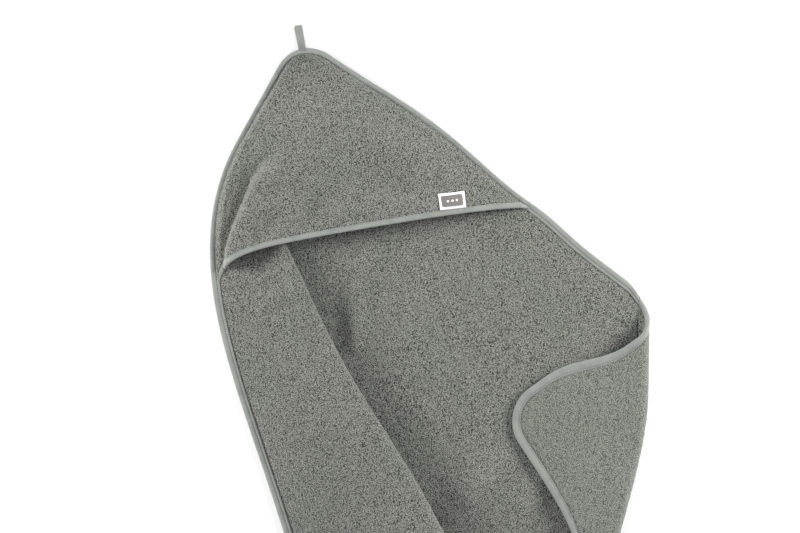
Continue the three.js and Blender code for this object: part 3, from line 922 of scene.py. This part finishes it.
def hood_sides():
    """Both sides of the hood in plan, from the middle of the rounded corner outwards."""
    plan = lay(lying_edge(HOOD_EDGE))[:, :2]
    first_of_arc = STRAIGHTS["upper"] - 1
    middle = first_of_arc + ARC_STEPS // 2
    return [(line, travel(line)) for line in (plan[middle:], plan[middle::-1])]


lying_edge(0.0)  # sets how many points each straight stretch has, from the outer edge
HOOD_LEFT, HOOD_RIGHT = hood_sides()
LEFT_REACH = HOOD_LEG_LEFT - ROUNDED_OFF
RIGHT_REACH = HOOD_LEG_RIGHT - ROUNDED_OFF


def along_side(side, distance):
    """The place in plan at a distance along one of the hood's sides."""
    line, travelled = side
    return np.stack([np.interp(distance, travelled, line[:, k]) for k in range(2)], -1)


CREST_STEPS = 14  # close points between two of the crest's own
CREST_BLUR = 60.0  # square of the distance over which the crest's points are averaged
FAR_WEIGHT = 1e-30  # keeps the average defined far from the crest


def crest_line():
    """The crest as a smooth line in plan, with its direction, step width and share of height."""
    points = np.array(CREST_POINTS, float)
    before = np.vstack([2 * points[0] - points[1], points])[:-1]
    after = np.vstack([points, 2 * points[-1] - points[-2]])[1:]
    leaving = (after - before) / 2
    line = []
    for k in range(len(points) - 1):
        t = np.linspace(0, 1, CREST_STEPS, endpoint=False)[:, None]
        line.append((2 * t ** 3 - 3 * t ** 2 + 1) * points[k] + (t ** 3 - 2 * t ** 2 + t) * leaving[k]
                    + (3 * t ** 2 - 2 * t ** 3) * points[k + 1] + (t ** 3 - t ** 2) * leaving[k + 1])
    line = np.concatenate(line)
    along = np.gradient(line, axis=0)
    along = along / np.linalg.norm(along, axis=1, keepdims=True)
    place = np.arange(len(line)) / CREST_STEPS
    knots = np.arange(len(points))
    return line, along, np.interp(place, knots, CREST_RISE), np.interp(place, knots, CREST_SHARE)


CREST = crest_line()


def beside_crest(plan):
    """How far plan places lie to the right of the crest, with the step's width and share there."""
    line, along, rise, share = CREST
    gap = plan[..., None, :] - line
    square = (gap ** 2).sum(-1)
    nearness = np.exp(-square / CREST_BLUR) + FAR_WEIGHT / (1 + square)
    nearness = nearness / nearness.sum(-1, keepdims=True)
    across = gap[..., 0] * along[:, 1] - gap[..., 1] * along[:, 0]
    return (across * nearness).sum(-1), (rise * nearness).sum(-1), (share * nearness).sum(-1)


def drawn_up(across, down):
    """How far the sagging front edge draws the hood's cloth up towards its corner."""
    held = sum(share * np.exp(-np.maximum(across, 0) / reach) for share, reach in SAG_HELD)
    drawn = FRONT_SAG * down ** SAG_POWER * (1 - held)
    return drawn * np.maximum(1 - across, 0) ** SAG_FADE


def crested(plan, down, from_left):
    """The hood's height on its left, which steps down beyond the crest, and the dip at its foot."""
    past_crest, rise, stepping = beside_crest(plan)
    step = smooth(1 + past_crest / rise)
    after = np.maximum(past_crest, 0)
    soon = (1 - SOON_SHARE) + SOON_SHARE * np.exp(-(after / SOON_WIDTH) ** 2)
    fade = soon * np.exp(-(np.maximum(from_left - FADE_START, 0) / FADE_WIDTH) ** 2)
    high = HOOD_HEIGHT * smooth(down / HOOD_RISE) * fade * smooth(from_left / HOOD_STEEP)
    high = high * (1 - stepping * (1 - step))
    return high, CREST_DIP * stepping * np.exp(-((past_crest + rise) / CREST_DIP_WIDTH) ** 2)


def hood(shares):
    """The middle of the hood's cloth, from shares across it and down it."""
    across, down = shares[..., 0], shares[..., 1]
    left = along_side(HOOD_LEFT, LEFT_REACH * down)
    right = along_side(HOOD_RIGHT, RIGHT_REACH * down)
    width = np.linalg.norm(right - left, axis=-1)
    drawn = drawn_up(across, down)
    plan = left + (right - left) * across[..., None]
    plan = plan + np.stack([np.zeros_like(drawn), drawn], -1)

    from_left = across * width
    from_right = (1 - across) * width
    from_seam = np.minimum(from_left, from_right)
    high, dip = crested(plan, down, from_left)
    high = high + creased(plan, HOOD_CREASES) * smooth(from_seam / HOOD_CREASE_MARGIN)
    pocket = HOOD_POCKET * np.sin(math.pi * np.clip(across, 0, 1)) * smooth(down / POCKET_RISE)
    seam = SEAM_HEIGHT * smooth((from_seam - SEAM_START) / SEAM_WIDTH) * smooth(down / SEAM_RISE)
    size, length, phase = HOOD_SLACK
    slack = size * ripple(plan, length, phase) * smooth(from_seam / SLACK_MARGIN)
    height = MIDDLE + HOOD_LIFT + (seam - dip) + high * smooth(from_right / HOOD_RIGHT_FADE)
    return np.concatenate([plan, (height + pocket + slack)[..., None]], -1)


FRONT_WIDTH = HOOD_BINDING_WIDTH / RIGHT_REACH  # the front binding, as a share down the hood
HOOD_MESH = (375.0, 300.0)  # about the hood's width and length, for the number of its points
CLOSER_LEFT = 1.25  # its points get closer together towards the left end by this power
CLOTH_TOP = 0.02  # share down the hood where its cloth starts
HOOD_SQUEEZE = 0.6
HOOD_SQUEEZE_REACH = 4.0


def hood_cloth():
    """The hood's cloth, from its corner down to the front binding."""
    across = np.linspace(0, 1, int(HOOD_MESH[0] / GRID)) ** CLOSER_LEFT
    down = np.linspace(CLOTH_TOP, 1 - 0.5 * FRONT_WIDTH, int(HOOD_MESH[1] / GRID))
    shares = np.stack(np.meshgrid(across, down, indexing="ij"), -1)
    middle, normal = surface(hood, shares, HOOD_STEP)
    normal = -normal
    front = (1 - shares[..., 1]) * RIGHT_REACH
    squeezed = 1 - smooth((front - HOOD_BINDING_WIDTH) / HOOD_SQUEEZE_REACH)
    piece = cloth_piece("hood_cloth", middle, normal, HOOD_TERRY / 2 - HOOD_SQUEEZE * squeezed,
                        pile(shares.shape[:2], TOWEL_PILE), [terry, reverse])
    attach(piece, "towel")
    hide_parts("hood_panel")
    return piece


FRONT_POINTS = 190
FRONT_END = 0.004  # share across the hood where its front binding starts, and the same at its end
FRONT_CLOSER_LEFT = 1.35


def hood_front(depth):
    """Shares along the hood's front edge, a depth in from it."""
    across = np.linspace(FRONT_END, 1 - FRONT_END, FRONT_POINTS) ** FRONT_CLOSER_LEFT
    return np.stack([across, np.full_like(across, 1 - depth / RIGHT_REACH)], -1)


HOOD_BINDING_BELOW = 1.9
HOOD_BINDING_ABOVE = 2.3
HOOD_STITCH_HEIGHT = 1.2


def hood_binding():
    """The binding along the hood's front edge, and its stitches."""
    section = binding_section(HOOD_BINDING_BELOW, HOOD_BINDING_ABOVE, HOOD_GROOVE)
    section = [(width, -height) for width, height in section]
    piece = binding("hood_trim", hood_front, hood, section, jersey, HOOD_BINDING_WIDTH, HOOD_STEP)
    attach(piece, "towel")
    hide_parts("hood_binding")
    depth = HOOD_GROOVE * HOOD_BINDING_WIDTH
    line, normal = stitch_line(hood_front, hood, depth, -HOOD_STITCH_HEIGHT, HOOD_STEP)
    row = stitches("hood_stitches", line, normal, thread)
    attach(row, "towel")
    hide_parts("hood_stitching")
    return [piece, row]


# ---------------------------------------------------------------- labels and loop

NEWTON_START = np.array([0.7, 0.85])  # shares near the label
NEWTON_ROUNDS = 15


def hood_shares(plan):
    """The hood's shares that lie at places in plan, by Newton's method."""
    shares = np.broadcast_to(NEWTON_START, plan.shape).copy()
    step = 0.001
    for _ in range(NEWTON_ROUNDS):
        here = hood(shares)[..., :2]
        over = (hood(shares + np.array([step, 0]))[..., :2] - here) / step
        down = (hood(shares + np.array([0, step]))[..., :2] - here) / step
        miss = plan - here
        determinant = over[..., 0] * down[..., 1] - over[..., 1] * down[..., 0]
        shares[..., 0] += (miss[..., 0] * down[..., 1] - miss[..., 1] * down[..., 0]) / determinant
        shares[..., 1] += (miss[..., 1] * over[..., 0] - miss[..., 0] * over[..., 1]) / determinant
    return shares


def cad_box(node):
    """The low and high corners of a CAD node's box, in millimetres."""
    return [np.array(corner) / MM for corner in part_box(node)]


label_low, label_high = cad_box("brand_label")
LABEL_SIZE = np.array([30.5, 19.3])
LABEL_CENTRE = (label_low[:2] + label_high[:2]) / 2 - np.array([0.0, 3.5])
LABEL_TILT = math.radians(-1.5)
LABEL_THICKNESS = 0.9
LABEL_ROUNDING = 0.6
LABEL_SEAM = 1.1  # from the label's edge to its stitches
SEAM_ROUNDING = 0.4
PATCH_SIZE = np.array([25.0, 13.6])
PATCH_ROUNDING = 2.4
DOT_PITCH = 5.2
DOT_RADIUS = 1.5
DOT_SIDES = 24


def on_label(places, height):
    """Points above the hood at places on the label, measured from its middle."""
    right, up = unit(LABEL_TILT), unit(LABEL_TILT + math.pi / 2)
    plan = LABEL_CENTRE + places[..., :1] * right + places[..., 1:] * up
    point, normal = surface(hood, hood_shares(plan), HOOD_STEP)
    return point - normal * (HOOD_TERRY / 2 + height), -normal


def rounded_rectangle(size, radius, steps=5):
    """The outline of a rectangle with rounded corners, round its middle."""
    half = size / 2 - radius
    points = []
    for k, (x, y) in enumerate([(1, 1), (-1, 1), (-1, -1), (1, -1)]):
        for angle in np.linspace(k * math.pi / 2, (k + 1) * math.pi / 2, steps):
            points.append(half * np.array([x, y]) + radius * unit(angle))
    return np.array(points)


TOP_INSET = 0.02  # how far in a plate's top edge is, as a share of its size
TOP_INNERMOST = 0.9  # how much farther in its innermost ring is


def label_plate(name, outline, material, bottom, top, bevel=0.25, rings=4):
    """A thin plate on the hood with a softened edge, from its outline on the label."""
    centre = outline.mean(0)
    layers = [(1.0, bottom), (1.0, top - bevel)]
    layers += [(1 - TOP_INSET - TOP_INNERMOST * k / rings, top) for k in range(rings + 1)]
    points = [on_label(centre + (outline - centre) * share, height)[0] for share, height in layers]
    count = len(outline)
    faces = []
    for layer in range(len(layers) - 1):
        for k in range(count):
            a, b = layer * count + k, layer * count + (k + 1) % count
            faces.append((a, b, b + count, a + count))
    faces.append(tuple(range(count))[::-1])
    faces.append(tuple((len(layers) - 1) * count + k for k in range(count)))
    return make_mesh(name, np.concatenate(points), faces, [material])


def subdivided(outline, step=1.5):
    """The same closed outline with points about a step apart."""
    result = []
    for start, end in zip(outline, np.roll(outline, -1, 0)):
        length = np.linalg.norm(end - start)
        if length > 1e-6:
            count = max(2, int(length / step) + 1)
            result.extend(start + (end - start) * np.linspace(0, 1, count)[:-1, None])
    return np.array(result)


def woven_label():
    """The woven label with a plain patch, three dots and its stitches, and no lettering."""
    outline = subdivided(rounded_rectangle(LABEL_SIZE, LABEL_ROUNDING))
    plate = label_plate("label", outline, satin, bottom=0.0, top=LABEL_THICKNESS)
    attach(plate, "towel")
    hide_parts("brand_label")
    outline = subdivided(rounded_rectangle(PATCH_SIZE, PATCH_ROUNDING))
    patch = label_plate("label_patch", outline, mauve, bottom=0.8, top=1.1, bevel=0.1)
    circle = np.array([unit(turn) for turn in np.linspace(0, 2 * math.pi, DOT_SIDES + 1)[:-1]])
    marks = []
    for k in (-1, 0, 1):
        dot = np.array([DOT_PITCH * k, 0.0]) + DOT_RADIUS * circle
        marks.append(label_plate(f"label_dot_{k + 2}", dot, pale, bottom=1.0, top=1.3,
                                 bevel=0.08, rings=2))
    seam = subdivided(rounded_rectangle(LABEL_SIZE - 2 * LABEL_SEAM, SEAM_ROUNDING), step=0.8)
    line, normal = on_label(np.concatenate([seam, seam[:1]]), height=0.95)
    row = stitches("label_stitches", line, normal, satin, length=1.5, pitch=2.2, radius=0.2)
    for piece in [patch, row, *marks]:
        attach(piece, "towel")


LOOP_TAPE_HALF = 3.8  # half the tape's width
LOOP_TAPE_THICK = 0.5  # half its thickness
LOOP_ROOT = 5.0  # how far the tape's ends reach in under the binding
LOOP_SPREAD_LENGTH = 9.0  # from the root to where the tape's two layers are fully apart
UPPER_LEAN = 0.4  # how far the upper layer leans to the left, and the start of the lower one
LOWER_SHIFT = 0.8
LOOP_POINTS = 14
TAPE_SIDES = 24
TAPE_RIB = 1.9  # pitch of the tape's ribs, and their depth as a share of its thickness
TAPE_RIB_DEPTH = 0.25


def loop_path():
    """The tape's middle from its lower root, round the eye, to its upper root: across, along, up."""
    low, high = cad_box("hanging_loop")
    right = high[0] - LOOP_TAPE_HALF
    left = low[0] + LOOP_TAPE_HALF
    radius = (high[2] - low[2]) / 2 - LOOP_TAPE_THICK
    start, end = low[1] - LOOP_ROOT, high[1] - radius - LOOP_TAPE_THICK
    centre = (high[2] + low[2]) / 2
    run = np.linspace(0, 1, LOOP_POINTS)
    spread = radius * smooth(run * (end - start) / LOOP_SPREAD_LENGTH)
    along = start + run * (end - start)
    turn = np.linspace(0, math.pi, LOOP_POINTS)[1:-1]
    over = np.stack([right - UPPER_LEAN * run, along, centre + spread], 1)
    under_right = right - LOWER_SHIFT
    under = np.stack([under_right - (under_right - left) * run, along, centre - spread], 1)
    bend = np.stack([left + (right - UPPER_LEAN - left) * turn / math.pi,
                     end + radius * np.sin(turn), centre - radius * np.cos(turn)], 1)
    return np.concatenate([under, bend, over[::-1]])


def hanging_loop():
    """A tape folded double; the under layer shows a little to the left of the upper one."""
    path = loop_path()
    tangent = np.gradient(path[:, 1:], axis=0)
    tangent = tangent / np.linalg.norm(tangent, axis=1, keepdims=True)
    around = np.linspace(0, 2 * math.pi, TAPE_SIDES + 1)[:-1]
    wide = LOOP_TAPE_HALF * squarish(np.cos(around), 0.4)
    thick = LOOP_TAPE_THICK * squarish(np.sin(around), 0.5)
    thick = thick * (1 - TAPE_RIB_DEPTH * np.cos(wide * 2 * math.pi / TAPE_RIB))
    rings = [np.stack([x + wide, y - along_z * thick, z + along_y * thick], 1)
             for (x, y, z), (along_y, along_z) in zip(path, tangent)]
    piece = sweep("loop_tape", rings, [tape])
    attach(piece, "loop")
    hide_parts("hanging_loop")


def loop_bartack():
    """Close stitches across the loop's root."""
    low, high = cad_box("loop_bartack")
    middle = (low + high) / 2
    x = np.linspace(low[0], high[0], 30)
    line = np.stack([x, np.full_like(x, middle[1]), np.full_like(x, middle[2])], -1)
    normal = np.tile([0.0, 0.0, 1.0], (len(x), 1))
    piece = stitches("bartack", line, normal, thread, length=0.9, pitch=1.0, radius=0.8)
    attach(piece, "towel")
    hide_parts("loop_bartack")


TAB_ROOT = 3.5  # how far the side tab reaches in under the binding
TAB_HALF = 0.3  # half its thickness
TAB_LIE = 0.6  # height of its middle above the CAD tab's underside
TAB_WAVE = 1.2
TAB_WAVE_LENGTH = 9.0


def side_tab():
    """A blank satin tab in the side seam."""
    low, high = cad_box("care_label")
    x = np.linspace(low[0], high[0] + TAB_ROOT, 30)
    y = np.linspace(low[1], high[1], 24)
    flat = np.stack(np.meshgrid(x, y, indexing="ij"), -1)
    lift = TAB_WAVE * np.sin((flat[..., 0] - low[0]) / TAB_WAVE_LENGTH) ** 2
    middle = np.concatenate([flat, (low[2] + TAB_LIE + lift)[..., None]], -1)
    normal = np.zeros_like(middle)
    normal[..., 2] = 1
    quiet = [np.zeros(flat.shape[:2])] * 2
    piece = cloth_piece("side_tab", middle, normal, TAB_HALF, quiet, [satin, satin])
    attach(piece, "side_tab")
    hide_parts("care_label")


# ---------------------------------------------------------------- floor and light

# In metres
FLOOR_REACH = 4.0
FLOOR_DROP = 0.0006  # keeps the floor just under the cloth
WORLD_STRENGTH = 0.47
LIGHT_AIM = (0.08, 0.15, 0)
LIGHT_SIZE = 0.8
LIGHTS = {"left": ((-2.0, 0.75, 0.85), 72), "right": ((2.05, 0.55, 0.85), 67)}  # place and watts


def make_floor():
    """A plain pale floor."""
    data = bpy.data.meshes.new("floor")
    corners = [(-1, -1), (1, -1), (1, 1), (-1, 1)]
    data.from_pydata([(FLOOR_REACH * x, FLOOR_REACH * y, 0) for x, y in corners], [], [(0, 1, 2, 3)])
    floor = bpy.data.objects.new("floor", data)
    floor.location.z = -FLOOR_DROP
    material = new_material("floor")
    set_shader(material, {"Base Color": grey(0.93), "Roughness": 0.9, "Specular IOR Level": 0.1})
    data.materials.append(material)
    bpy.context.scene.collection.objects.link(floor)


def make_light(name, place, power):
    """A soft lamp that faces the middle of the towel."""
    data = bpy.data.lights.new(name, "AREA")
    data.size = LIGHT_SIZE
    data.energy = power
    light = bpy.data.objects.new(name, data)
    light.location = place
    light.rotation_euler = (Vector(LIGHT_AIM) - Vector(place)).to_track_quat("-Z", "Y").to_euler()
    bpy.context.scene.collection.objects.link(light)


def make_world():
    """Even white light from all round."""
    world = bpy.data.worlds.new("world")
    world.use_nodes = True
    background = world.node_tree.nodes["Background"]
    background.inputs["Color"].default_value = (1, 1, 1, 1)
    background.inputs["Strength"].default_value = WORLD_STRENGTH
    bpy.context.scene.world = world
    bpy.context.scene.view_settings.view_transform = "Standard"


# ---------------------------------------------------------------- the scene

make_camera()
make_world()
make_floor()
for light_name, (light_place, light_power) in LIGHTS.items():
    make_light(light_name, light_place, light_power)

towel = towel_cloth()
corner = corner_cloth()
edge_trim = towel_binding()
corner_trim = corner_binding()
hood_sheet = hood_cloth()
hood_trim = hood_binding()
woven_label()
hanging_loop()
loop_bartack()
side_tab()
